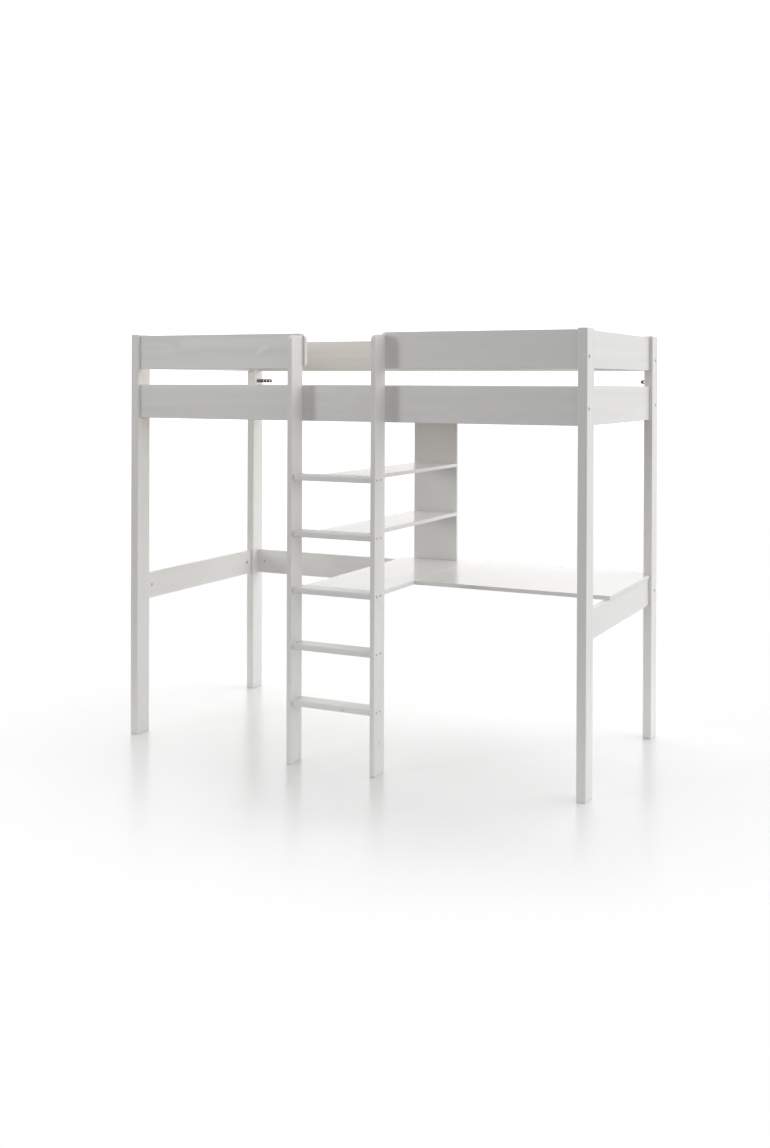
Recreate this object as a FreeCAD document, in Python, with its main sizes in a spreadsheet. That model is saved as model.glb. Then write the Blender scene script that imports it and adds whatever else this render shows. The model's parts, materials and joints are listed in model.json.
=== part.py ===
"""Loft bed with a built-in ladder, an L-shaped desk and two shelves, as separate pieces.

Frame: millimetres, +X along the bed to the right, +Y from the ladder to the wall, +Z up.
The origin is on the floor, at the middle of the whole bed's footprint, ladder included.
"""
import FreeCAD, Part
import os
import re
import Sketcher

os.makedirs("parts", exist_ok=True)
doc = FreeCAD.newDocument("LoftBed")

# ---------------------------------------------------------------- driving dimensions, in mm
DIMENSIONS = {
    # the frame, without the ladder that stands in front of it
    "length": 2083,
    "width": 995,
    "height": 1750,
    "post_thickness": 37,
    "post_depth": 84,
    "post_round": 3,
    "foot_chamfer": 3,
    "edge_round": 2,
    # rails; the setbacks are measured from the posts' outer faces, and on both end
    # frames from the posts' right-hand faces
    "rail_thickness": 20,
    "rail_height": 145,
    "mid_rail_height": 115,
    "upper_rail_bottom": 1600,
    "lower_rail_bottom": 1387,
    "mid_rail_bottom": 582,
    "front_setback": 13,
    "back_setback": 22,
    "end_setback": 14,
    "guard_left_length": 837,
    "guard_right_length": 826,
    "guard_corner_round": 25,
    # ladder
    "ladder_width": 400,
    "ladder_depth": 87,
    "ladder_thickness": 20,
    "ladder_height": 1734,
    "ladder_offset": 3,
    "ladder_top_round": 28,
    "ladder_foot_round": 6,
    "step_depth": 77,
    "step_thickness": 23,
    "step_nose_round": 6,
    "first_step": 260,
    "step_pitch": 228,
    # desk and shelves
    "desk_thickness": 16,
    "desk_depth": 650,
    "desk_inset": 8,
    "return_width": 355,
    "notch_gap": 1,
    "shelf_width": 220,
    "shelf_thickness": 16,
    "shelf_offset": -6,
    "shelf_drop": 5,
    "shelf_panel_top": 1515,
    "panel_round": 1.5,
    # slatted base
    "ledge_size": 30,
    "ledge_rise": 9,
    "slat_count": 13,
    "slat_width": 70,
    "slat_thickness": 18,
    "slat_gap": 3,
    "slat_margin": 12,
    "strap_width": 25,
    "strap_thickness": 1.5,
    "strap_offset": 230,
    # wall brackets, bent from perforated strip
    "bracket_width": 16,
    "bracket_thickness": 2,
    "bracket_leg": 56,
    "bracket_short_leg": 38,
    "bracket_height": 1551,
    "bracket_hole_radius": 3,
    "bracket_hole_pitch": 18,
    "bracket_end": 14,
    # plates under the desk's seam
    "plate_length": 120,
    "plate_width": 40,
    "plate_thickness": 2,
    # fasteners; every hole is wider than its fastener by the fit gap, all round
    "fit_gap": 0.1,
    "bolt_radius": 3,
    "bolt_length": 80,
    "bolt_head_radius": 7,
    "bolt_head_height": 3,
    "bolt_recess": 6,
    "bolt_hole_radius": 3.5,
    "bolt_hole_depth": 50,
    "bolt_rise_upper": 44,
    "bolt_rise_lower": 63,
    "bolt_rise_mid": 58,
    "nut_radius": 5,
    "nut_length": 14,
    "nut_inset": 40,
    "cam_radius": 7.5,
    "cam_height": 13,
    "cam_inset": 34,
    "cam_pocket": 4,
    "pin_radius": 3.5,
    "pin_embed": 11,
    "dowel_radius": 4,
    "dowel_length": 40,
    "dowel_spread": 0.3,
    "confirmat_radius": 3.5,
    "confirmat_length": 50,
    "confirmat_head_radius": 5,
    "confirmat_head_height": 4,
    "screw_radius": 2,
    "screw_head_radius": 4,
    "screw_head_height": 2.5,
    "short_screw_length": 15,
    "panel_screw_length": 35,
    "ledge_screw_length": 45,
    "head_sink": 0.5,
    "step_screw_front": 20,
    "step_screw_pitch": 32,
}

sheet = doc.addObject("Spreadsheet::Sheet", "Dims")
for row, (alias, size) in enumerate(DIMENSIONS.items(), start=1):
    sheet.set(f"A{row}", alias)
    sheet.set(f"B{row}", str(size))
    sheet.setAlias(f"B{row}", alias)
doc.recompute()

# Places, written as sums of the sheet's cells.
LEFT = "(-length / 2)"
RIGHT = "(length / 2)"
FRONT = "((ladder_depth - front_setback - width) / 2)"
BACK = "((ladder_depth - front_setback + width) / 2)"
INNER_LEFT = f"({LEFT} + post_thickness)"
INNER_RIGHT = f"({RIGHT} - post_thickness)"
FRONT_END = f"({FRONT} + post_depth)"
BACK_END = f"({BACK} - post_depth)"
RAIL_FRONT = f"({FRONT} + front_setback)"
RAIL_FRONT_INSIDE = f"({RAIL_FRONT} + rail_thickness)"
RAIL_BACK_INSIDE = f"({BACK} - back_setback - rail_thickness)"
LADDER_LEFT = "(ladder_offset - ladder_width / 2)"
LADDER_RIGHT = "(ladder_offset + ladder_width / 2)"
STEP_LEFT = f"({LADDER_LEFT} + ladder_thickness)"
STEP_RIGHT = f"({LADDER_RIGHT} - ladder_thickness)"
LADDER_FRONT = f"({RAIL_FRONT} - ladder_depth)"
DESK_BOTTOM = "(mid_rail_bottom + mid_rail_height)"
DESK_TOP = f"({DESK_BOTTOM} + desk_thickness)"
DESK_SEAM = STEP_RIGHT
DESK_RIGHT = f"({RIGHT} - desk_inset)"
RETURN_LEFT = f"({DESK_SEAM} - return_width)"
DESK_BACK = f"({BACK} - back_setback)"
DESK_FRONT = f"({DESK_BACK} - desk_depth)"
PANEL_FRONT = f"({RAIL_BACK_INSIDE} - shelf_thickness)"
LEDGE_BOTTOM = "(lower_rail_bottom + ledge_rise)"
LEDGE_TOP = f"({LEDGE_BOTTOM} + ledge_size)"

LEVELS = {
    "upper": ("upper_rail_bottom", "rail_height", "bolt_rise_upper"),
    "lower": ("lower_rail_bottom", "rail_height", "bolt_rise_lower"),
    "mid": ("mid_rail_bottom", "mid_rail_height", "bolt_rise_mid"),
}
FRONT_LEVELS = ("upper", "lower")
BACK_LEVELS = ("upper", "lower", "mid")
STEP_NUMBERS = range(1, 6)
SLAT_NUMBERS = range(1, DIMENSIONS["slat_count"] + 1)

PLANES = {"x": "YZ_Plane", "y": "XZ_Plane", "z": "XY_Plane"}
DIRECTIONS = {"x": FreeCAD.Vector(1, 0, 0), "y": FreeCAD.Vector(0, 1, 0),
              "z": FreeCAD.Vector(0, 0, 1)}
TINY = 0.01

subparts = []
corners = {}


# ---------------------------------------------------------------- helpers
def cells(text):
    """Turn each word, such as post_depth, into a reference to the sheet's cell."""
    return re.sub(r"[a-z][a-z_]*", lambda word: "Dims." + word.group(), text)


def number(text):
    """The present value of a sum of cells."""
    return float(sheet.evalExpression(cells(text)))


def place(piece, corner):
    """Bind a piece's position to the sheet."""
    for letter, text in zip("xyz", corner):
        piece.setExpression("Placement.Base." + letter, cells(text))


def new_sketch(body, name, axis, offset):
    """A sketch across one axis of the body, at a distance along that axis."""
    sketch = body.newObject("Sketcher::SketchObject", name)
    plane = [item for item in body.Origin.OriginFeatures if item.Role == PLANES[axis]][0]
    sketch.AttachmentSupport = [(plane, "")]
    sketch.MapMode = "FlatFace"
    if axis == "y":
        offset = f"-({offset})"
    sketch.setExpression("AttachmentOffset.Base.z", cells(offset))
    return sketch


def hold_point(sketch, geometry, point, spot):
    """Hold one point of a sketch at a place measured from the sketch's origin."""
    for kind, text in zip(("DistanceX", "DistanceY"), spot):
        constraint = Sketcher.Constraint(kind, -1, 1, geometry, point, number(text))
        index = sketch.addConstraint(constraint)
        sketch.setExpression(f"Constraints[{index}]", cells(text))


def draw_outline(sketch, points):
    """Draw a closed outline of straight sides."""
    places = [FreeCAD.Vector(number(u), number(v), 0) for u, v in points]
    count = len(points)
    for side in range(count):
        sketch.addGeometry(Part.LineSegment(places[side], places[(side + 1) % count]))
    for side in range(count):
        following = (side + 1) % count
        sketch.addConstraint(Sketcher.Constraint("Coincident", side, 2, following, 1))
        hold_point(sketch, side, 1, points[side])


def rectangle(wide, tall):
    return [("0", "0"), (wide, "0"), (wide, tall), ("0", tall)]


def board(name, axis, points, thickness, corner):
    """A sub-part padded along one axis from an outline, with its lowest corner placed."""
    body = doc.addObject("PartDesign::Body", name)
    body.Label = name
    sketch = new_sketch(body, name + "_outline", axis, "0")
    draw_outline(sketch, points)
    pad = body.newObject("PartDesign::Pad", name + "_pad")
    pad.Profile = sketch
    pad.setExpression("Length", cells(thickness))
    pad.Reversed = axis == "y"
    place(body, corner)
    corners[name] = corner
    subparts.append(body)
    doc.recompute()
    return body


def extent(edge, axis):
    box = edge.BoundBox
    return {"x": (box.XMin, box.XMax), "y": (box.YMin, box.YMax), "z": (box.ZMin, box.ZMax)}[axis]


def along(axis):
    """Test for a straight edge that runs along one axis."""
    others = [other for other in "xyz" if other != axis]

    def test(edge):
        return all(extent(edge, other)[1] - extent(edge, other)[0] < TINY for other in others)
    return test


def at(axis, text):
    """Test for an edge that lies all at one place on an axis of its body."""
    def test(edge):
        return all(abs(end - number(text)) < TINY for end in extent(edge, axis))
    return test


def dress(body, kind, radius, *tests):
    """Fillet or chamfer the edges that pass every test."""
    base = body.Tip
    names = [f"Edge{index}" for index, edge in enumerate(base.Shape.Edges, start=1)
             if all(test(edge) for test in tests)]
    feature = body.newObject("PartDesign::" + kind, f"{body.Name}_{kind.lower()}")
    feature.Base = (base, names)
    feature.setExpression("Size" if kind == "Chamfer" else "Radius", cells(radius))
    doc.recompute()


def drill(body, axis, start, toward, spots, radius, depth):
    """Sink equal round holes along an axis, toward +1 or -1 of it, all places in the bed's frame.

    A spot gives the other two coordinates, in X, Y, Z order.
    """
    corner = dict(zip("xyz", corners[body.Name]))
    across = [other for other in "xyz" if other != axis]
    sketch = new_sketch(body, body.Name + "_spots", axis, f"{start} - {corner[axis]}")
    for index, spot in enumerate(spots):
        local = [f"{text} - {corner[other]}" for text, other in zip(spot, across)]
        centre = FreeCAD.Vector(number(local[0]), number(local[1]), 0)
        sketch.addGeometry(Part.Circle(centre, FreeCAD.Vector(0, 0, 1), number(radius)))
        width = sketch.addConstraint(Sketcher.Constraint("Radius", index, number(radius)))
        sketch.setExpression(f"Constraints[{width}]", cells(radius))
        hold_point(sketch, index, 3, local)
    pocket = body.newObject("PartDesign::Pocket", body.Name + "_holes")
    pocket.Profile = sketch
    pocket.setExpression("Length", cells(depth))
    sinks_forward = axis == "y"
    pocket.Reversed = (toward > 0) != sinks_forward


def cylinder(name, radius, length):
    """A Part cylinder along +Z from the origin."""
    rod = doc.addObject("Part::Cylinder", name)
    rod.setExpression("Radius", cells(radius))
    rod.setExpression("Height", cells(length))
    return rod


def boolean(kind, name, base, tool):
    result = doc.addObject("Part::" + kind, name)
    result.Base = base
    result.Tool = tool
    return result


def make_screw(name, shank, length, head, head_height):
    """A screw or bolt along +Z: its head's outer face is at the origin, with a hexagon socket."""
    shaft = cylinder(name + "_shank", shank, length)
    cap = cylinder(name + "_head", head, head_height)
    whole = boolean("Fuse", name + "_blank", shaft, cap)
    socket = doc.addObject("Part::Prism", name + "_socket")
    socket.Polygon = 6
    socket.setExpression("Circumradius", cells(f"{shank} * 0.7"))
    socket.setExpression("Height", cells(f"{head_height} * 0.7"))
    return boolean("Cut", name, whole, socket)


def group(name, pattern, spots):
    """One node of equal fasteners: each spot is a place, an axis and a sense, +1 or -1."""
    links = []
    for index, (spot, axis, sense) in enumerate(spots, start=1):
        link = doc.addObject("App::Link", f"{name}_{index}")
        link.LinkedObject = pattern
        turn = FreeCAD.Rotation(DIRECTIONS["z"], DIRECTIONS[axis] * sense)
        link.Placement = FreeCAD.Placement(FreeCAD.Vector(0, 0, 0), turn)
        place(link, spot)
        links.append(link)
    compound = doc.addObject("Part::Compound", name)
    compound.Label = name
    compound.Links = links
    subparts.append(compound)


def bolt_height(level):
    bottom, _, rise = LEVELS[level]
    return f"({bottom} + {rise})"


def middle_height(level):
    bottom, tall, _ = LEVELS[level]
    return f"({bottom} + {tall} / 2)"


def dowel_heights(level):
    """The heights of the two dowels beside a rail end's bolt or cam."""
    bottom, tall, _ = LEVELS[level]
    return [f"({bottom} + {tall} * (0.5 {sign} dowel_spread))" for sign in "-+"]


def step_top(step):
    return f"(first_step + step_pitch * {step - 1})"


def step_middle(step):
    return f"({step_top(step)} - step_thickness / 2)"


# ---------------------------------------------------------------- posts
def make_post(name, x, y):
    post = board(name, "z", rectangle("post_thickness", "post_depth"), "height", (x, y, "0"))
    dress(post, "Chamfer", "foot_chamfer", at("z", "0"))
    dress(post, "Fillet", "post_round", along("z"))
    dress(post, "Fillet", "edge_round", at("z", "height"))
    return post


posts = {
    ("left", "front"): make_post("post_front_left", LEFT, FRONT),
    ("right", "front"): make_post("post_front_right", INNER_RIGHT, FRONT),
    ("left", "back"): make_post("post_back_left", LEFT, BACK_END),
    ("right", "back"): make_post("post_back_right", INNER_RIGHT, BACK_END),
}


# ---------------------------------------------------------------- rails
def make_long_rail(name, level, length, x, y):
    """A rail along X with its four long edges rounded."""
    bottom, tall, _ = LEVELS[level]
    rail = board(name, "y", rectangle(length, tall), "rail_thickness", (x, y, bottom))
    dress(rail, "Fillet", "edge_round", along("x"))
    return rail


def make_guard(name, length, x, butt_end, free_end):
    """A front guard: its free end has two large round corners, its butt end is square."""
    points = rectangle(length, "rail_height")
    guard = board(name, "y", points, "rail_thickness", (x, RAIL_FRONT, "upper_rail_bottom"))
    dress(guard, "Fillet", "guard_corner_round", along("y"), at("x", free_end))

    def is_outline(edge):
        on_face = at("y", "0")(edge) or at("y", "rail_thickness")(edge)
        return on_face and not at("x", butt_end)(edge)
    dress(guard, "Fillet", "edge_round", is_outline)
    return guard


def make_end_rail(name, level, x):
    """A rail along Y between the front and back posts of one end frame."""
    bottom, tall, _ = LEVELS[level]
    points = rectangle("(width - 2 * post_depth)", tall)
    rail = board(name, "x", points, "rail_thickness", (x, FRONT_END, bottom))
    dress(rail, "Fillet", "edge_round", along("y"))
    return rail


INNER_LENGTH = "(length - 2 * post_thickness)"
END_RAIL_X = {
    "left": f"({INNER_LEFT} - end_setback - rail_thickness)",
    "right": f"({RIGHT} - end_setback - rail_thickness)",
}
END_RAIL_MIDDLE = {side: f"({x} + rail_thickness / 2)" for side, x in END_RAIL_X.items()}
LONG_RAIL_MIDDLE = {
    "front": f"({RAIL_FRONT} + rail_thickness / 2)",
    "back": f"({RAIL_BACK_INSIDE} + rail_thickness / 2)",
}

front_lower_rail = make_long_rail("front_lower_rail", "lower", INNER_LENGTH,
                                  INNER_LEFT, RAIL_FRONT)
guard_left = make_guard("front_guard_left", "guard_left_length", INNER_LEFT,
                        "0", "guard_left_length")
guard_right = make_guard("front_guard_right", "guard_right_length",
                         f"({INNER_RIGHT} - guard_right_length)", "guard_right_length", "0")
back_rails = {level: make_long_rail(f"back_{level}_rail", level, INNER_LENGTH,
                                    INNER_LEFT, RAIL_BACK_INSIDE) for level in BACK_LEVELS}
end_rails = {(side, level): make_end_rail(f"{side}_{level}_rail", level, END_RAIL_X[side])
             for side in ("left", "right") for level in BACK_LEVELS}


# ---------------------------------------------------------------- ladder
def make_ladder_rail(name, x):
    points = rectangle("ladder_depth", "ladder_height")
    rail = board(name, "x", points, "ladder_thickness", (x, LADDER_FRONT, "0"))
    dress(rail, "Fillet", "ladder_top_round", along("x"), at("y", "0"), at("z", "ladder_height"))
    dress(rail, "Fillet", "ladder_foot_round", along("x"), at("y", "0"), at("z", "0"))
    dress(rail, "Fillet", "edge_round",
          lambda edge: at("x", "0")(edge) or at("x", "ladder_thickness")(edge))
    return rail


def make_step(step):
    """A step between the ladder's rails, with a rounder nose along its top front edge."""
    points = rectangle("(ladder_width - 2 * ladder_thickness)", "step_depth")
    corner = (STEP_LEFT, f"({RAIL_FRONT} - step_depth)", f"({step_top(step)} - step_thickness)")
    body = board(f"ladder_step_{step}", "z", points, "step_thickness", corner)
    dress(body, "Fillet", "step_nose_round", along("x"), at("y", "0"), at("z", "step_thickness"))
    dress(body, "Fillet", "edge_round", along("x"), at("y", "step_depth"))
    dress(body, "Fillet", "edge_round", along("x"), at("y", "0"), at("z", "0"))
    return body


ladder_rails = {
    "left": make_ladder_rail("ladder_rail_left", LADDER_LEFT),
    "right": make_ladder_rail("ladder_rail_right", STEP_RIGHT),
}
steps = {step: make_step(step) for step in STEP_NUMBERS}


# ---------------------------------------------------------------- desk and shelves
def soften_panel(panel, axis, thickness):
    dress(panel, "Fillet", "panel_round",
          lambda edge: at(axis, "0")(edge) or at(axis, thickness)(edge))


DESK_LENGTH = f"({DESK_RIGHT} - {DESK_SEAM})"
NOTCH_X = f"({DESK_LENGTH} - post_thickness + desk_inset - notch_gap)"
NOTCH_Y = "(desk_depth - post_depth + back_setback - notch_gap)"
desk_main = board("desk_top_main", "z",
                  [("0", "0"), (DESK_LENGTH, "0"), (DESK_LENGTH, NOTCH_Y), (NOTCH_X, NOTCH_Y),
                   (NOTCH_X, "desk_depth"), ("0", "desk_depth")],
                  "desk_thickness", (DESK_SEAM, DESK_FRONT, DESK_BOTTOM))
soften_panel(desk_main, "z", "desk_thickness")

desk_return = board("desk_top_return", "z",
                    rectangle("return_width", f"({DESK_BACK} - {RAIL_FRONT})"),
                    "desk_thickness", (RETURN_LEFT, RAIL_FRONT, DESK_BOTTOM))
soften_panel(desk_return, "z", "desk_thickness")

SHELF_LEFT = "(shelf_offset - shelf_width / 2)"
shelf_panel = board("shelf_back_panel", "y",
                    rectangle("shelf_width", f"(shelf_panel_top - {DESK_TOP})"),
                    "shelf_thickness", (SHELF_LEFT, PANEL_FRONT, DESK_TOP))
soften_panel(shelf_panel, "y", "shelf_thickness")


def shelf_bottom(step):
    return f"({step_top(step)} - shelf_drop - shelf_thickness)"


def make_shelf(name, step):
    """A shelf a little below a step's top, from the step's back edge to the shelf panel."""
    points = rectangle("shelf_width", f"({PANEL_FRONT} - {RAIL_FRONT})")
    corner = (SHELF_LEFT, RAIL_FRONT, shelf_bottom(step))
    shelf = board(name, "z", points, "shelf_thickness", corner)
    soften_panel(shelf, "z", "shelf_thickness")
    return shelf


SHELF_STEPS = {4: "shelf_lower", 5: "shelf_upper"}
shelves = {step: make_shelf(name, step) for step, name in SHELF_STEPS.items()}


# ---------------------------------------------------------------- slatted base
def make_ledge(name, points, y, free_side):
    ledge = board(name, "z", points, "ledge_size", (INNER_LEFT, y, LEDGE_BOTTOM))
    dress(ledge, "Fillet", "edge_round", along("x"), at("y", free_side))
    return ledge


# The back ledge is notched where the shelf panel passes behind it.
LEDGE_NOTCH = [f"({SHELF_LEFT} - {INNER_LEFT} - notch_gap)",
               f"({SHELF_LEFT} - {INNER_LEFT} + shelf_width + notch_gap)"]
NOTCH_DEPTH_Y = "(ledge_size - shelf_thickness)"
back_ledge_points = [("0", "0"), (INNER_LENGTH, "0"), (INNER_LENGTH, "ledge_size"),
                     (LEDGE_NOTCH[1], "ledge_size"), (LEDGE_NOTCH[1], NOTCH_DEPTH_Y),
                     (LEDGE_NOTCH[0], NOTCH_DEPTH_Y), (LEDGE_NOTCH[0], "ledge_size"),
                     ("0", "ledge_size")]
ledges = {
    "front": make_ledge("slat_ledge_front", rectangle(INNER_LENGTH, "ledge_size"),
                        RAIL_FRONT_INSIDE, "ledge_size"),
    "back": make_ledge("slat_ledge_back", back_ledge_points,
                       f"({RAIL_BACK_INSIDE} - ledge_size)", "0"),
}

SLAT_FRONT = f"({RAIL_FRONT_INSIDE} + slat_gap)"
SLAT_PITCH = f"(({INNER_LENGTH} - 2 * slat_margin - slat_width) / (slat_count - 1))"


def slat_x(slat):
    return f"({INNER_LEFT} + slat_margin + {SLAT_PITCH} * {slat - 1})"


def make_slat(slat):
    """A slat across the bed; one in line with the shelf panel stops short of it."""
    off_centre = abs(number(f"{slat_x(slat)} + slat_width / 2 - shelf_offset"))
    meets_panel = off_centre < number("(slat_width + shelf_width) / 2")
    back = PANEL_FRONT if meets_panel else RAIL_BACK_INSIDE
    points = rectangle("slat_width", f"({back} - slat_gap - {SLAT_FRONT})")
    body = board(f"slat_{slat:02d}", "z", points, "slat_thickness",
                 (slat_x(slat), SLAT_FRONT, LEDGE_TOP))
    dress(body, "Fillet", "edge_round", along("y"))
    return body


slats = {slat: make_slat(slat) for slat in SLAT_NUMBERS}

strap = doc.addObject("Part::Box", "strap")
strap.setExpression("Length", cells(f"{INNER_LENGTH} - 2 * slat_margin"))
strap.setExpression("Width", cells("strap_width"))
strap.setExpression("Height", cells("strap_thickness"))
MIDDLE_Y = f"(({RAIL_FRONT_INSIDE} + {RAIL_BACK_INSIDE} - strap_width) / 2)"
group("slat_straps", strap,
      [((f"({INNER_LEFT} + slat_margin)", f"({MIDDLE_Y} {sign} strap_offset)",
         f"({LEDGE_TOP} - strap_thickness)"), "z", 1) for sign in "-+"])


# ---------------------------------------------------------------- wall brackets
def make_bracket(name, x, sign, wall_leg):
    """An L of perforated strip: one leg along the post's inner face, one along the wall.

    The origin of its outline is the bend's outer corner; sign is + or -, away from the post.
    """
    end, thick = f"({sign}{wall_leg})", f"({sign}bracket_thickness)"
    points = [("0", "(-bracket_leg)"), (thick, "(-bracket_leg)"),
              (thick, "(-bracket_thickness)"), (end, "(-bracket_thickness)"),
              (end, "0"), ("0", "0")]
    bottom = "(bracket_height - bracket_width / 2)"
    bracket = board(name, "z", points, "bracket_width", (x, BACK, bottom))
    dress(bracket, "Fillet", "(bracket_width / 2 - 0.1)", along("y"), at("x", end))
    dress(bracket, "Fillet", "(bracket_width / 2 - 0.1)", along("x"), at("y", "(-bracket_leg)"))
    dress(bracket, "Fillet", "(bracket_thickness * 1.5)", along("z"), at("x", "0"), at("y", "0"))
    hole_count = int(number(f"({wall_leg} - bracket_end) / bracket_hole_pitch")) + 1
    spots = [(f"({x} {sign} ({wall_leg} - bracket_end - bracket_hole_pitch * {index}))",
              "bracket_height") for index in range(hole_count)]
    drill(bracket, "y", BACK, -1, spots, "bracket_hole_radius", "bracket_thickness")
    return bracket


BRACKETS = {
    "left": make_bracket("wall_bracket_left", INNER_LEFT, "+", "bracket_leg"),
    "right": make_bracket("wall_bracket_right", INNER_RIGHT, "-", "bracket_short_leg"),
}
BRACKET_SCREW_YS = [f"({BACK} - bracket_leg + bracket_end + bracket_hole_pitch * {index})"
                    for index in (0, 1)]

# ---------------------------------------------------------------- fastener patterns
bolt = make_screw("bolt", "bolt_radius", "bolt_length", "bolt_head_radius", "bolt_head_height")
confirmat = make_screw("confirmat", "confirmat_radius", "confirmat_length",
                       "confirmat_head_radius", "confirmat_head_height")
short_screw, panel_screw, ledge_screw = [
    make_screw(name, "screw_radius", f"{name}_length", "screw_head_radius", "screw_head_height")
    for name in ("short_screw", "panel_screw", "ledge_screw")]

cross_hole = cylinder("nut_cross_hole", "(bolt_radius + fit_gap)", "4 * nut_radius")
cross_hole.Placement.Rotation = FreeCAD.Rotation(DIRECTIONS["z"], DIRECTIONS["x"])
place(cross_hole, ("-2 * nut_radius", "0", "nut_length / 2"))
nut = boolean("Cut", "nut", cylinder("nut_blank", "nut_radius", "nut_length"), cross_hole)

pin_passage = cylinder("cam_pin_passage", "cam_pocket", "4 * cam_radius")
pin_passage.Placement.Rotation = FreeCAD.Rotation(DIRECTIONS["z"], DIRECTIONS["y"])
place(pin_passage, ("0", "-2 * cam_radius", "rail_thickness / 2 - head_sink"))
cam = boolean("Cut", "cam", cylinder("cam_blank", "cam_radius", "cam_height"), pin_passage)
pin = cylinder("pin", "pin_radius", "pin_embed + cam_inset")
dowel_blank = cylinder("dowel_blank", "dowel_radius", "dowel_length")
doc.recompute()
dowel = doc.addObject("Part::Chamfer", "dowel")
dowel.Base = dowel_blank
dowel.Edges = [(1, 1, 1), (3, 1, 1)]

BOLT_HOLE = "bolt_hole_radius"
DOWEL_HOLE = "(dowel_radius + fit_gap)"
CONFIRMAT_HOLE = "(confirmat_radius + fit_gap)"
CONFIRMAT_HEAD = "(confirmat_head_radius + fit_gap)"
CONFIRMAT_RECESS = "(confirmat_head_height + head_sink + fit_gap)"
SCREW_HOLE = "(screw_radius + fit_gap)"
SCREW_HEAD = "(screw_head_radius + fit_gap)"
SCREW_RECESS = "(screw_head_height + head_sink + fit_gap)"
HALF_DOWEL = "(dowel_length / 2 + fit_gap)"

# ---------------------------------------------------------------- long rails to posts
OUTER = {"left": (LEFT, 1, INNER_LEFT), "right": (RIGHT, -1, INNER_RIGHT)}
bolts, nuts, dowels = [], [], []


def rail_at(side, row, level):
    """The long rail that meets a post at one level."""
    if row == "back":
        return back_rails[level]
    if level == "lower":
        return front_lower_rail
    return guard_left if side == "left" else guard_right


for (side, row), post in posts.items():
    outer, inward, inner = OUTER[side]
    levels = FRONT_LEVELS if row == "front" else BACK_LEVELS
    y = LONG_RAIL_MIDDLE[row]
    bolt_spots = [(y, bolt_height(level)) for level in levels]
    dowel_spots = [(y, z) for level in levels for z in dowel_heights(level)]
    drill(post, "x", outer, inward, bolt_spots, "(bolt_head_radius + fit_gap)", "bolt_recess")
    drill(post, "x", outer, inward, bolt_spots, BOLT_HOLE, "post_thickness")
    drill(post, "x", inner, -inward, dowel_spots, DOWEL_HOLE, HALF_DOWEL)
    sign = "+" if inward > 0 else "-"
    head = f"({outer} {sign} (bolt_recess - bolt_head_height))"
    bolts += [((head, *spot), "x", inward) for spot in bolt_spots]
    dowels += [((f"({inner} - {inward} * dowel_length / 2)", *spot), "x", inward)
               for spot in dowel_spots]
    face, sense = (RAIL_FRONT_INSIDE, -1) if row == "front" else (RAIL_BACK_INSIDE, 1)
    nut_x = f"({inner} {sign} nut_inset)"
    for level in levels:
        rail = rail_at(side, row, level)
        spots = [(y, z) for z in dowel_heights(level)]
        drill(rail, "x", inner, inward, [(y, bolt_height(level))], BOLT_HOLE, "bolt_hole_depth")
        drill(rail, "x", inner, inward, spots, DOWEL_HOLE, HALF_DOWEL)
        drill(rail, "y", face, sense, [(nut_x, bolt_height(level))],
              "(nut_radius + fit_gap)", "((rail_thickness + nut_length) / 2 + fit_gap)")
        near = f"({y} - {sense} * nut_length / 2)"
        nuts.append(((nut_x, near, bolt_height(level)), "y", sense))

group("frame_bolts", bolt, bolts)
group("barrel_nuts", nut, nuts)

# ---------------------------------------------------------------- end rails to posts
pins, cams = [], []
ENDS = {"front": (FRONT_END, 1), "back": (BACK_END, -1)}
for (side, row), post in posts.items():
    face, inward = ENDS[row]
    x = END_RAIL_MIDDLE[side]
    pin_spots = [(x, middle_height(level)) for level in BACK_LEVELS]
    dowel_spots = [(x, z) for level in BACK_LEVELS for z in dowel_heights(level)]
    drill(post, "y", face, -inward, pin_spots, "(pin_radius + fit_gap)", "pin_embed + fit_gap")
    drill(post, "y", face, -inward, dowel_spots, DOWEL_HOLE, HALF_DOWEL)
    pins += [((spot[0], f"({face} - {inward} * pin_embed)", spot[1]), "y", inward)
             for spot in pin_spots]
    dowels += [((spot[0], f"({face} - {inward} * dowel_length / 2)", spot[1]), "y", inward)
               for spot in dowel_spots]
    inside = f"({END_RAIL_X[side]} + rail_thickness)" if side == "left" else END_RAIL_X[side]
    sense = -1 if side == "left" else 1
    cam_y = f"({face} + {inward} * cam_inset)"
    for level in BACK_LEVELS:
        rail = end_rails[side, level]
        z = middle_height(level)
        drill(rail, "y", face, inward, [(x, z)], "(pin_radius + fit_gap)", "cam_inset")
        drill(rail, "y", face, inward, [(x, each) for each in dowel_heights(level)],
              DOWEL_HOLE, HALF_DOWEL)
        drill(rail, "x", inside, sense, [(cam_y, z)], "(cam_radius + fit_gap)",
              "(cam_height + 2 * head_sink)")
        cams.append(((f"({inside} + {sense} * head_sink)", cam_y, z), "x", sense))

group("cam_locks", cam, cams)
group("cam_pins", pin, pins)

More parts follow.
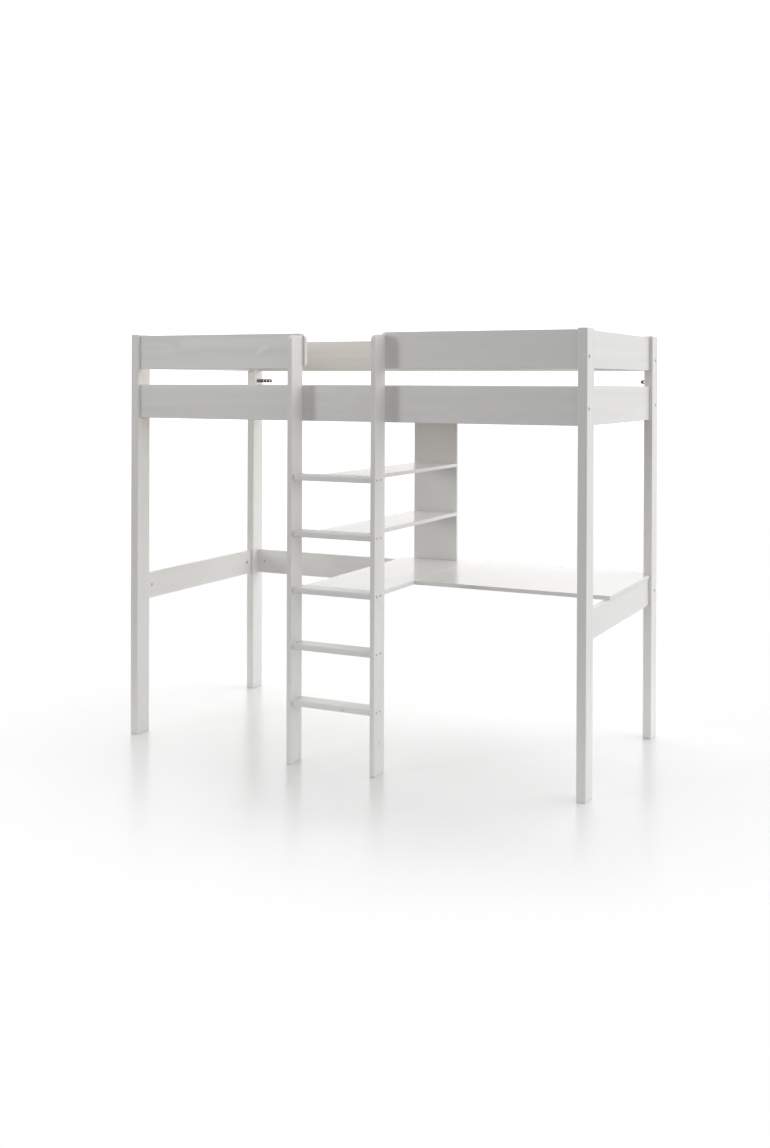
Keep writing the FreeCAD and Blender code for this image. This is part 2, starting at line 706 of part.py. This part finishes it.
# ---------------------------------------------------------------- ladder joints
STEP_SCREW_YS = [f"({LADDER_FRONT} + step_screw_front + step_screw_pitch * {index})"
                 for index in (0, 1)]
LADDER_SCREW_RISES = {"upper": ("-30", "+30"), "lower": ("+0", "+45")}
step_screws, ladder_screws = [], []
for side, rail in ladder_rails.items():
    outer, inward, inner = {"left": (LADDER_LEFT, 1, STEP_LEFT),
                            "right": (LADDER_RIGHT, -1, STEP_RIGHT)}[side]
    spots = [(y, step_middle(step)) for step in STEP_NUMBERS for y in STEP_SCREW_YS]
    drill(rail, "x", outer, inward, spots, CONFIRMAT_HEAD, CONFIRMAT_RECESS)
    drill(rail, "x", outer, inward, spots, CONFIRMAT_HOLE, "ladder_thickness")
    for step, body in steps.items():
        drill(body, "x", inner, inward, [(y, step_middle(step)) for y in STEP_SCREW_YS],
              CONFIRMAT_HOLE, "confirmat_length - ladder_thickness + 2 * head_sink")
    step_screws += [((f"({outer} + {inward} * head_sink)", *spot), "x", inward)
                    for spot in spots]
    x = f"(({outer} + {inner}) / 2)"
    for level in FRONT_LEVELS:
        holder = rail_at(side, "front", level)
        spots = [(x, f"({middle_height(level)} {rise})") for rise in LADDER_SCREW_RISES[level]]
        drill(holder, "y", RAIL_FRONT_INSIDE, -1, spots, CONFIRMAT_HEAD, CONFIRMAT_RECESS)
        drill(holder, "y", RAIL_FRONT_INSIDE, -1, spots, CONFIRMAT_HOLE, "rail_thickness")
        drill(rail, "y", RAIL_FRONT, -1, spots, CONFIRMAT_HOLE,
              "confirmat_length - rail_thickness + 2 * head_sink")
        ladder_screws += [((x, f"({RAIL_FRONT_INSIDE} - head_sink)", z), "y", -1)
                          for _, z in spots]

group("ladder_step_screws", confirmat, step_screws)
group("ladder_rail_screws", confirmat, ladder_screws)

# ---------------------------------------------------------------- shelf and desk joints
SHELF_XS = [f"(shelf_offset {sign} shelf_width * 0.3)" for sign in "-+"]
RETURN_XS = [f"({DESK_SEAM} - return_width * {share})" for share in (0.85, 0.15)]


def dowel_front_edge(panel, step, xs, z):
    """Dowel a panel's front edge to the back edge of a step."""
    spots = [(x, z) for x in xs]
    drill(panel, "y", RAIL_FRONT, 1, spots, DOWEL_HOLE, HALF_DOWEL)
    drill(steps[step], "y", RAIL_FRONT, -1, spots, DOWEL_HOLE, HALF_DOWEL)
    dowels.extend(((x, f"({RAIL_FRONT} - dowel_length / 2)", z), "y", 1) for x in xs)


SCREW_REST = "confirmat_length - shelf_thickness + 2 * head_sink"
shelf_screws = []
for step, shelf in shelves.items():
    z = f"({shelf_bottom(step)} + shelf_thickness / 2)"
    spots = [(x, z) for x in SHELF_XS]
    drill(shelf_panel, "y", RAIL_BACK_INSIDE, -1, spots, CONFIRMAT_HEAD, CONFIRMAT_RECESS)
    drill(shelf_panel, "y", RAIL_BACK_INSIDE, -1, spots, CONFIRMAT_HOLE, "shelf_thickness")
    drill(shelf, "y", PANEL_FRONT, -1, spots, CONFIRMAT_HOLE, SCREW_REST)
    shelf_screws += [((x, f"({RAIL_BACK_INSIDE} - head_sink)", z), "y", -1) for x in SHELF_XS]
    dowel_front_edge(shelf, step, SHELF_XS, z)
dowel_front_edge(desk_return, 3, RETURN_XS, f"({DESK_TOP} - desk_thickness / 2)")

foot_spots = [(x, f"({PANEL_FRONT} + shelf_thickness / 2)") for x in SHELF_XS]
drill(desk_return, "z", DESK_BOTTOM, 1, foot_spots, CONFIRMAT_HEAD, CONFIRMAT_RECESS)
drill(desk_return, "z", DESK_BOTTOM, 1, foot_spots, CONFIRMAT_HOLE, "desk_thickness")
drill(shelf_panel, "z", DESK_TOP, 1, foot_spots, CONFIRMAT_HOLE, SCREW_REST)
shelf_screws += [((*spot, f"({DESK_BOTTOM} + head_sink)"), "z", 1) for spot in foot_spots]
group("shelf_screws", confirmat, shelf_screws)
group("wood_dowels", dowel, dowels)


def screw_panel(panel, holder, axis, face, sense, spots, thickness):
    """Fix a panel to the piece behind it with sunk panel screws; gives the screws' places."""
    drill(panel, axis, face, sense, spots, SCREW_HEAD, SCREW_RECESS)
    drill(panel, axis, face, sense, spots, SCREW_HOLE, thickness)
    behind = f"({face} + {sense} * {thickness})"
    drill(holder, axis, behind, sense, spots, SCREW_HOLE,
          f"panel_screw_length - {thickness} + 2 * head_sink")
    start = f"({face} + {sense} * head_sink)"
    places = []
    for spot in spots:
        place_of_head = list(spot)
        place_of_head.insert("xyz".index(axis), start)
        places.append((tuple(place_of_head), axis, sense))
    return places


BACK_MIDDLE = LONG_RAIL_MIDDLE["back"]
panel_screws = screw_panel(
    desk_main, end_rails["right", "mid"], "z", DESK_TOP, -1,
    [(END_RAIL_MIDDLE["right"], f"({DESK_FRONT} + desk_depth * {share})")
     for share in (0.23, 0.70)], "desk_thickness")
panel_screws += screw_panel(
    desk_main, back_rails["mid"], "z", DESK_TOP, -1,
    [(f"({DESK_SEAM} + {DESK_LENGTH} * {share})", BACK_MIDDLE) for share in (0.1, 0.5, 0.9)],
    "desk_thickness")
panel_screws += screw_panel(
    desk_return, back_rails["mid"], "z", DESK_TOP, -1,
    [(x, BACK_MIDDLE) for x in RETURN_XS], "desk_thickness")
panel_screws += screw_panel(
    shelf_panel, back_rails["lower"], "y", PANEL_FRONT, 1,
    [(x, middle_height("lower")) for x in SHELF_XS], "shelf_thickness")
group("panel_screws", panel_screw, panel_screws)

# Two flat plates hold the desk's two panels together from below.
PLATE_YS = [f"({DESK_FRONT} + desk_depth * {share})" for share in (0.2, 0.75)]
PLATE_HOLE_XS = [f"({DESK_SEAM} + plate_length * {share})" for share in (-0.4, -0.2, 0.2, 0.4)]
plate = doc.addObject("Part::Box", "plate_blank")
plate.setExpression("Length", cells("plate_length"))
plate.setExpression("Width", cells("plate_width"))
plate.setExpression("Height", cells("plate_thickness"))
for index, share in enumerate((0.1, 0.3, 0.7, 0.9), start=1):
    hole = cylinder(f"plate_hole_{index}", SCREW_HOLE, "2 * plate_thickness")
    place(hole, (f"plate_length * {share}", "plate_width / 2", "-plate_thickness / 2"))
    plate = boolean("Cut", f"plate_cut_{index}", plate, hole)
group("desk_joint_plates", plate,
      [((f"({DESK_SEAM} - plate_length / 2)", f"({y} - plate_width / 2)",
         f"({DESK_BOTTOM} - plate_thickness)"), "z", 1) for y in PLATE_YS])
UNDER_PLATE = f"({DESK_BOTTOM} - plate_thickness - screw_head_height)"
PILOT = "(short_screw_length - plate_thickness - screw_head_height + head_sink)"
for panel, xs in ((desk_return, PLATE_HOLE_XS[:2]), (desk_main, PLATE_HOLE_XS[2:])):
    drill(panel, "z", DESK_BOTTOM, 1, [(x, y) for x in xs for y in PLATE_YS], SCREW_HOLE, PILOT)
group("plate_screws", short_screw,
      [((x, y, UNDER_PLATE), "z", 1) for x in PLATE_HOLE_XS for y in PLATE_YS])

# ---------------------------------------------------------------- brackets, ledges, slats
bracket_screws = []
for side, bracket in BRACKETS.items():
    _, inward, inner = OUTER[side]
    face = f"({inner} + {inward} * bracket_thickness)"
    spots = [(y, "bracket_height") for y in BRACKET_SCREW_YS]
    drill(bracket, "x", face, -inward, spots, SCREW_HOLE, "bracket_thickness")
    drill(posts[side, "back"], "x", inner, -inward, spots, SCREW_HOLE,
          "panel_screw_length - bracket_thickness - screw_head_height + head_sink")
    head = f"({face} + {inward} * screw_head_height)"
    bracket_screws += [((head, *spot), "x", -inward) for spot in spots]
group("bracket_screws", panel_screw, bracket_screws)

LEDGE_SCREW_COUNT = 6
ledge_spots = [(f"({INNER_LEFT} + {INNER_LENGTH} * {(index + 0.5) / LEDGE_SCREW_COUNT:.4f})",
                f"({LEDGE_BOTTOM} + ledge_size / 2)") for index in range(LEDGE_SCREW_COUNT)]
ledge_screws = []
for row, (face, sense, rail) in {
        "front": (f"({RAIL_FRONT_INSIDE} + ledge_size)", -1, front_lower_rail),
        "back": (f"({RAIL_BACK_INSIDE} - ledge_size)", 1, back_rails["lower"])}.items():
    drill(ledges[row], "y", face, sense, ledge_spots, SCREW_HEAD, SCREW_RECESS)
    drill(ledges[row], "y", face, sense, ledge_spots, SCREW_HOLE, "ledge_size")
    drill(rail, "y", f"({face} + {sense} * ledge_size)", sense, ledge_spots, SCREW_HOLE,
          "ledge_screw_length - ledge_size + 2 * head_sink")
    ledge_screws += [((x, f"({face} + {sense} * head_sink)", z), "y", sense)
                     for x, z in ledge_spots]
group("ledge_screws", ledge_screw, ledge_screws)

SLAT_TOP = f"({LEDGE_TOP} + slat_thickness)"
LEDGE_MIDDLES = {"front": f"({RAIL_FRONT_INSIDE} + ledge_size / 2)",
                 "back": f"({RAIL_BACK_INSIDE} - ledge_size / 2)"}
slat_screws = []
for slat in (SLAT_NUMBERS[0], SLAT_NUMBERS[-1]):
    for row, y in LEDGE_MIDDLES.items():
        slat_screws += screw_panel(slats[slat], ledges[row], "z", SLAT_TOP, -1,
                                   [(f"({slat_x(slat)} + slat_width / 2)", y)],
                                   "slat_thickness")
group("slat_screws", panel_screw, slat_screws)

# ---------------------------------------------------------------- check and write
doc.recompute()
for item in doc.Objects:
    if "Invalid" in item.State or "Error" in item.State:
        raise RuntimeError(f"{item.Name} failed: {item.State}")
    if item.TypeId == "PartDesign::Pocket":
        removed = item.BaseFeature.Shape.Volume - item.Shape.Volume
        if removed < 1:
            raise RuntimeError(f"{item.Name} removes nothing")
for subpart in subparts:
    if subpart.Shape.isNull() or not subpart.Shape.isValid():
        raise RuntimeError(f"{subpart.Label} has no valid shape")
    subpart.Shape.exportStep(f"parts/{subpart.Label}.step")
print(len(subparts), "sub-parts written")
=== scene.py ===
"""Looks for the loft bed with desk: white lacquered pine on a pale studio floor."""
import json
import math

import bpy
from mathutils import Matrix, Vector


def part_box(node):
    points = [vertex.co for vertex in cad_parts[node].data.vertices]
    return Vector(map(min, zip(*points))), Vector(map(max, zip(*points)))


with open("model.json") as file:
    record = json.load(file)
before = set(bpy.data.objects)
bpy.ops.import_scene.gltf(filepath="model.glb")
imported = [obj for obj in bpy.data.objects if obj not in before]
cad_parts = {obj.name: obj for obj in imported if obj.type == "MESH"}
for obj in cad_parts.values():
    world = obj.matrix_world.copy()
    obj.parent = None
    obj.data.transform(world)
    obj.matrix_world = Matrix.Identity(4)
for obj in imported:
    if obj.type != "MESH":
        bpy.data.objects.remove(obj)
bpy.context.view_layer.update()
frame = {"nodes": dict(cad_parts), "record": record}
scene = bpy.context.scene
nodes = frame["nodes"]
AXES = "xyz"


# ---------------------------------------------------------------- node helpers
class Tree:
    """Short names for building a node tree."""

    def __init__(self, owner):
        """Empty the node tree of a new material or world."""
        owner.use_nodes = True
        self.tree = owner.node_tree
        self.tree.nodes.clear()

    def add(self, kind, settings=None, **inputs):
        node = self.tree.nodes.new(kind)
        for name, value in (settings or {}).items():
            setattr(node, name, value)
        for name, value in inputs.items():
            self.set(node, name.replace("_", " "), value)
        return node

    def set(self, node, name, value):
        """Link or fill an input, given by name, or by number where names repeat."""
        socket = node.inputs[name]
        if isinstance(value, bpy.types.NodeSocket):
            self.tree.links.new(value, socket)
        else:
            socket.default_value = value

    def math(self, operation, a, b=0.5):
        node = self.add("ShaderNodeMath", {"operation": operation})
        self.set(node, 0, a)
        self.set(node, 1, b)
        return node.outputs[0]

    def ramp(self, value, low, high, out_low=0.0, out_high=1.0):
        """Run smoothly from out_low to out_high as a value goes from low to high."""
        node = self.add("ShaderNodeMapRange", {"interpolation_type": "SMOOTHSTEP"})
        for name, item in (("Value", value), ("From Min", low), ("From Max", high),
                           ("To Min", out_low), ("To Max", out_high)):
            self.set(node, name, item)
        return node.outputs["Result"]

    def mix(self, factor, a, b):
        node = self.add("ShaderNodeMix", {"data_type": "RGBA"})
        self.set(node, 0, factor)
        self.set(node, 6, a)
        self.set(node, 7, b)
        return node.outputs[2]

    def scaled(self, vector, scale):
        return self.add("ShaderNodeMapping", Vector=vector, Scale=scale).outputs["Vector"]

    def noise(self, vector, scale, detail=3.0, roughness=0.5):
        node = self.add("ShaderNodeTexNoise", Vector=vector, Scale=scale, Detail=detail,
                        Roughness=roughness)
        return node.outputs["Fac"]


def new_material(name):
    """A material with one shader, and world metres to place its patterns by."""
    material = bpy.data.materials.new(name)
    tree = Tree(material)
    shader = tree.add("ShaderNodeBsdfPrincipled")
    tree.add("ShaderNodeOutputMaterial", Surface=shader.outputs[0])
    place = tree.add("ShaderNodeTexCoord").outputs["Object"]
    return material, tree, shader, place


def bump(tree, shader, height, distance, strength):
    node = tree.add("ShaderNodeBump", Strength=strength, Distance=distance, Height=height)
    tree.set(shader, "Normal", node.outputs[0])


def along(axis, length, width):
    """Scale for a pattern that is long along one axis of the boards."""
    return tuple(length if letter == axis else width for letter in AXES)


# ---------------------------------------------------------------- wood
def knots(tree, place, axis):
    """Distance from scattered knots, in grain-stretched cells; most cells hold none."""
    stretched = tree.scaled(place, along(axis, 2.1, 6.5))
    cells = tree.add("ShaderNodeTexVoronoi", {"feature": "F1"}, Vector=stretched, Scale=1.0)
    pick = tree.add("ShaderNodeSeparateColor", Color=cells.outputs["Color"]).outputs[0]
    absent = tree.ramp(pick, 0.34, 0.36, 0.0, 1.0)
    return tree.math("ADD", cells.outputs["Distance"], absent)


def grain_field(tree, place, axis):
    """Fine fibre, growth bands bent round the knots, and the knots' hearts."""
    knot = knots(tree, place, axis)
    near = tree.ramp(knot, 0.05, 0.45, 1.0, 0.0)
    fibre = tree.noise(tree.scaled(place, along(axis, 4.0, 420.0)), 1.0, 4.0, 0.6)
    drift = tree.noise(tree.scaled(place, along(axis, 0.9, 5.0)), 1.0, 2.0)
    across = tree.scaled(place, along(axis, 0.35, 26.0))
    lifted = tree.add("ShaderNodeVectorMath", {"operation": "ADD"})
    tree.set(lifted, 0, across)
    shift = tree.math("MULTIPLY", tree.math("ADD", drift, near), 2.2)
    tree.set(lifted, 1, shift)
    bands = tree.noise(lifted.outputs[0], 1.0, 2.0, 0.45)
    heart = tree.ramp(knot, 0.045, 0.1, 1.0, 0.0)
    return fibre, bands, heart


def edge_mask(tree, radius):
    """One on rounded edges, nought on flat faces."""
    soft = tree.add("ShaderNodeBevel", {"samples": 4}, Radius=radius).outputs[0]
    flat = tree.add("ShaderNodeNewGeometry").outputs["True Normal"]
    dot = tree.add("ShaderNodeVectorMath", {"operation": "DOT_PRODUCT"})
    tree.set(dot, 0, soft)
    tree.set(dot, 1, flat)
    return tree.ramp(dot.outputs["Value"], 0.93, 0.995, 1.0, 0.0)


# Marks under the lacquer, by the grain's axis: centre in metres, half sizes in metres,
# tilt about Y in degrees, colour.
PALE, GREY, BROWN = (0.96, 0.955, 0.94, 1), (0.74, 0.73, 0.71, 1), (0.52, 0.47, 0.40, 1)
MARKS = {
    "x": (((-0.378, -0.4475, 1.678), (0.055, 0.03, 0.013), -29.6, PALE),
          ((-0.335, -0.4475, 1.672), (0.030, 0.03, 0.012), -8.0, GREY),
          ((0.058, -0.5245, 0.247), (0.011, 0.02, 0.006), 0.0, BROWN)),
    "y": (),
    "z": (((0.203, -0.491, 0.126), (0.02, 0.008, 0.015), 0.0, BROWN),),
}


MARK_STRENGTH = 0.55
MARK_WOBBLE = 0.006     # how far the marks' outlines are pulled about by noise
NOISE_MEAN = 0.5        # the wobble's noise is centred on this in each axis


def marked(tree, place, axis, colour):
    """Lay the listed marks of one grain direction over a colour."""
    rough = tree.add("ShaderNodeMix", {"data_type": "VECTOR"})
    tree.set(rough, 0, MARK_WOBBLE)
    tree.set(rough, 4, place)
    tree.set(rough, 5, tree.add("ShaderNodeTexNoise", Vector=place, Scale=60.0).outputs["Color"])
    for centre, size, tilt, tint in MARKS[axis]:
        local = tree.add("ShaderNodeMapping", {"vector_type": "TEXTURE"}, Vector=rough.outputs[1],
                         Location=tuple(value * (1 - MARK_WOBBLE) + NOISE_MEAN * MARK_WOBBLE
                                        for value in centre),
                         Scale=size, Rotation=(0.0, math.radians(tilt), 0.0)).outputs["Vector"]
        reach = tree.add("ShaderNodeVectorMath", {"operation": "LENGTH"})
        tree.set(reach, 0, local)
        mask = tree.ramp(reach.outputs["Value"], 0.15, 1.0, MARK_STRENGTH, 0.0)
        colour = tree.mix(mask, colour, tint)
    return colour


def lacquered_pine(axis):
    """Satin white lacquer that lets a little of the pine's relief and tone through."""
    material, tree, shader, place = new_material(f"white_pine_{axis}")
    fibre, bands, heart = grain_field(tree, place, axis)
    tone = tree.math("ADD", tree.math("MULTIPLY", fibre, 0.35),
                     tree.math("MULTIPLY", bands, 0.65))
    cloud = tree.noise(tree.scaled(place, along(axis, 1.3, 6.0)), 1.0, 2.0)
    white = tree.mix(tree.ramp(tone, 0.32, 0.68), (0.800, 0.792, 0.772, 1),
                     (0.845, 0.840, 0.824, 1))
    white = tree.mix(tree.ramp(cloud, 0.35, 0.65, 0.0, 0.35), white, (0.815, 0.806, 0.786, 1))
    white = tree.mix(tree.math("MULTIPLY", heart, 0.30), white, (0.70, 0.675, 0.63, 1))
    worn = tree.math("MULTIPLY", edge_mask(tree, 0.0015),
                     tree.ramp(fibre, 0.35, 0.7, 0.05, 0.30))
    white = tree.mix(worn, white, (0.83, 0.79, 0.70, 1))
    tree.set(shader, "Base Color", marked(tree, place, axis, white))
    tree.set(shader, "Roughness", tree.ramp(tone, 0.3, 0.7, 0.44, 0.36))
    relief = tree.math("ADD", tree.math("MULTIPLY", fibre, 0.5), bands)
    relief = tree.math("ADD", relief, tree.math("MULTIPLY", heart, 0.5))
    bump(tree, shader, relief, 0.00025, 0.35)
    return material


def lacquered_board():
    """Smooth white furniture board with a faint roller texture."""
    material, tree, shader, place = new_material("white_panel")
    peel = tree.noise(place, 900.0, 2.0, 0.5)
    streak = tree.noise(tree.scaled(place, (3.0, 0.8, 3.0)), 1.0, 3.0)
    white = tree.mix(tree.ramp(streak, 0.35, 0.65), (0.770, 0.767, 0.757, 1),
                     (0.810, 0.808, 0.800, 1))
    edge = tree.math("MULTIPLY", edge_mask(tree, 0.0012), 0.25)
    white = tree.mix(edge, white, (0.76, 0.75, 0.73, 1))
    tree.set(shader, "Base Color", white)
    tree.set(shader, "Roughness", tree.ramp(streak, 0.3, 0.7, 0.17, 0.23))
    shader.inputs["IOR"].default_value = 1.5
    bump(tree, shader, peel, 0.00006, 0.25)
    return material


def bare_wood(name, axis, early, late, knot_colour):
    """Planed wood with growth rings, fibre and brown knots."""
    material, tree, shader, place = new_material(name)
    fibre, bands, heart = grain_field(tree, place, axis)
    rings = tree.math("FRACT", tree.math("MULTIPLY", bands, 7.0))
    ring = tree.ramp(rings, 0.55, 0.97)
    colour = tree.mix(ring, early, late)
    colour = tree.mix(tree.ramp(fibre, 0.3, 0.75, 0.0, 0.35), colour, late)
    colour = tree.mix(tree.math("MULTIPLY", heart, 0.85), colour, knot_colour)
    tree.set(shader, "Base Color", colour)
    tree.set(shader, "Roughness", tree.ramp(fibre, 0.3, 0.7, 0.62, 0.50))
    bump(tree, shader, tree.math("ADD", fibre, tree.math("MULTIPLY", ring, 0.6)), 0.0002, 0.5)
    return material


# ---------------------------------------------------------------- metal and webbing
def plated_steel(name, light, dark, roughness):
    """Zinc plate: mottled, finely scratched metal."""
    material, tree, shader, place = new_material(name)
    mottle = tree.noise(place, 260.0, 3.0, 0.6)
    scratch = tree.noise(tree.scaled(place, (900.0, 900.0, 90.0)), 1.0, 2.0)
    tree.set(shader, "Base Color", tree.mix(tree.ramp(mottle, 0.3, 0.7), dark, light))
    shader.inputs["Metallic"].default_value = 1.0
    tree.set(shader, "Roughness", tree.ramp(mottle, 0.3, 0.7, roughness, roughness + 0.15))
    bump(tree, shader, scratch, 0.00005, 0.3)
    return material


THREAD_PITCH = 0.0014   # metres, over and under


def webbing():
    """Plain-woven polyester band: over-and-under threads."""
    material, tree, shader, place = new_material("webbing")
    axes = tree.add("ShaderNodeSeparateXYZ", Vector=place)
    waves = [tree.math("SINE", tree.math("MULTIPLY", axes.outputs[index],
                                         2 * math.pi / THREAD_PITCH))
             for index in (0, 1)]
    weave = tree.math("MULTIPLY", waves[0], waves[1])
    thread = tree.ramp(weave, -0.6, 0.6)
    colour = tree.mix(thread, (0.62, 0.60, 0.55, 1), (0.82, 0.80, 0.75, 1))
    tree.set(shader, "Base Color", colour)
    shader.inputs["Roughness"].default_value = 0.75
    shader.inputs["Sheen Weight"].default_value = 0.3
    bump(tree, shader, thread, 0.0003, 0.6)
    return material


# ---------------------------------------------------------------- dress the CAD nodes
PINE = {axis: lacquered_pine(axis) for axis in AXES}
RAW_PINE = {axis: bare_wood(f"bare_pine_{axis}", axis, (0.60, 0.46, 0.30, 1),
                            (0.47, 0.32, 0.18, 1), (0.23, 0.11, 0.05, 1)) for axis in "xy"}
FINISHES = {
    "white_panel": lacquered_board(),
    "beech": bare_wood("beech", "x", (0.62, 0.42, 0.25, 1), (0.52, 0.32, 0.18, 1),
                       (0.40, 0.24, 0.13, 1)),
    "webbing": webbing(),
    # dark_zinc is partly dark plating and partly painted shade: the bolt heads are darkened to
    # stand in for the shade inside their counterbored recesses.
    "dark_zinc": plated_steel("dark_zinc", (0.20, 0.20, 0.21, 1), (0.11, 0.11, 0.12, 1), 0.38),
    "zinc_steel": plated_steel("zinc_steel", (0.55, 0.55, 0.56, 1), (0.38, 0.38, 0.39, 1), 0.30),
}


def long_axis(name):
    """The axis that the grain of a piece runs along: its longest side."""
    low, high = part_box(name)
    sizes = high - low
    return AXES[max(range(3), key=lambda index: sizes[index])]


for entry in frame["record"]["subparts"]:
    name, slot = entry["node"], entry["material_slot"]
    if slot == "white_pine":
        finish = PINE[long_axis(name)]
    elif slot == "bare_pine":
        finish = RAW_PINE[long_axis(name)]
    else:
        finish = FINISHES[slot]
    for material_slot in nodes[name].material_slots:
        material_slot.link = "OBJECT"
        material_slot.material = finish

# ---------------------------------------------------------------- floor
REACH = 6.0                             # metres from the middle to the plane's sides
FADE_CENTRE = (0.0, -0.19, 0.0)
FADE_SCALE = (0.37, 0.42, 1.0)
FADE_START, FADE_END = 0.4, 1.0         # in scaled distance from the centre
floor_mesh = bpy.data.meshes.new("studio_floor")
floor_mesh.from_pydata([(-REACH, -REACH, 0), (REACH, -REACH, 0),
                        (REACH, REACH, 0), (-REACH, REACH, 0)], [], [(0, 1, 2, 3)])
floor = bpy.data.objects.new("studio_floor", floor_mesh)
scene.collection.objects.link(floor)
material, tree, shader, place = new_material("studio_floor")
tree.set(shader, "Base Color", tree.mix(tree.noise(place, 1.2, 3.0), (0.84, 0.84, 0.84, 1),
                                        (0.86, 0.86, 0.86, 1)))
tree.set(shader, "Roughness", tree.ramp(tree.noise(place, 3.0, 2.0), 0.3, 0.7, 0.20, 0.26))
centred = tree.add("ShaderNodeMapping", Vector=place, Location=FADE_CENTRE,
                   Scale=FADE_SCALE).outputs["Vector"]
spread = tree.add("ShaderNodeVectorMath", {"operation": "LENGTH"})
tree.set(spread, 0, centred)
fade = tree.ramp(spread.outputs["Value"], FADE_START, FADE_END, 1.0, 0.0)
# The floor gives way to the backdrop point by point, so that no line shows where it ends.
speckle = tree.add("ShaderNodeTexWhiteNoise", {"noise_dimensions": "3D"},
                   Vector=place).outputs["Value"]
tree.set(shader, "Alpha", tree.math("GREATER_THAN", fade, speckle))
floor_mesh.materials.append(material)

# ---------------------------------------------------------------- light
# Strengths of the soft light from each side.
BACK_LOW, BACK_HIGH = 1.03, 1.85        # from the back, near the horizon and higher up
LEFT_SIDE, RIGHT_SIDE = 0.88, 1.06
OVERHEAD = 0.32
BELOW_SHARE = 0.25                      # what is left of all of it below the floor

world = bpy.data.worlds.new("studio")
scene.world = world
tree = Tree(world)
direction = tree.add("ShaderNodeTexCoord").outputs["Generated"]
axes = tree.add("ShaderNodeSeparateXYZ", Vector=direction).outputs
behind = tree.math("MULTIPLY", tree.math("MAXIMUM", axes["Y"], 0.0),
                   tree.ramp(axes["Z"], 0.15, 0.55, BACK_LOW, BACK_HIGH))
beside = tree.math("MULTIPLY", tree.math("ABSOLUTE", axes["X"]),
                   tree.ramp(axes["X"], -0.1, 0.1, LEFT_SIDE, RIGHT_SIDE))
above = tree.math("MULTIPLY", tree.math("MAXIMUM", axes["Z"], 0.0), OVERHEAD)
sky = tree.math("ADD", tree.math("ADD", behind, beside), above)
sky = tree.math("MULTIPLY", sky, tree.ramp(axes["Z"], -0.4, 0.0, BELOW_SHARE, 1.0))
# The backdrop itself is plain white to the camera.
seen = tree.add("ShaderNodeLightPath").outputs["Is Camera Ray"]
backdrop = tree.add("ShaderNodeBackground", Color=(1, 1, 1, 1),
                    Strength=tree.math("MAXIMUM", sky, seen))
tree.add("ShaderNodeOutputWorld", Surface=backdrop.outputs[0])


def softbox(name, place, aim, width, height, power):
    """A white rectangular lamp, in metres and watts, that the camera doesn't see."""
    light = bpy.data.lights.new(name, "AREA")
    light.shape = "RECTANGLE"
    light.size, light.size_y = width, height
    light.energy = power
    lamp = bpy.data.objects.new(name, light)
    lamp.location = place
    lamp.rotation_mode = "QUATERNION"
    lamp.rotation_quaternion = (Vector(aim) - Vector(place)).to_track_quat("-Z", "Y")
    lamp.visible_camera = False
    scene.collection.objects.link(lamp)


softbox("key_front_left", (-8.2, -12.0, 3.4), (0.0, -0.4, 1.0), 3.0, 3.4, 325)
softbox("right_side", (6.5, 4.0, 3.5), (0.3, 0.0, 1.0), 2.0, 2.5, 22)

# ---------------------------------------------------------------- camera
EYE = Vector((2.44517, -4.80252, 1.54613))
YAW, PITCH, ROLL = (math.radians(angle) for angle in (25.1092, 0.3167, 0.2133))
forward = Vector((-math.sin(YAW) * math.cos(PITCH), math.cos(YAW) * math.cos(PITCH),
                  -math.sin(PITCH)))
level = Vector((math.cos(YAW), math.sin(YAW), 0.0))
upright = level.cross(forward)
right = level * math.cos(ROLL) + upright * math.sin(ROLL)
up = upright * math.cos(ROLL) - level * math.sin(ROLL)
camera_data = bpy.data.cameras.new("camera")
camera_data.sensor_width = 36.0
camera_data.lens = 38.7424
camera_data.shift_x, camera_data.shift_y = -0.040323, -0.160987
camera_data.clip_start, camera_data.clip_end = 0.05, 100.0
camera = bpy.data.objects.new("camera", camera_data)
turn = Matrix((right, up, -forward)).transposed().to_4x4()
camera.matrix_world = Matrix.Translation(EYE) @ turn
scene.collection.objects.link(camera)
scene.camera = camera
scene.view_settings.view_transform = "Standard"
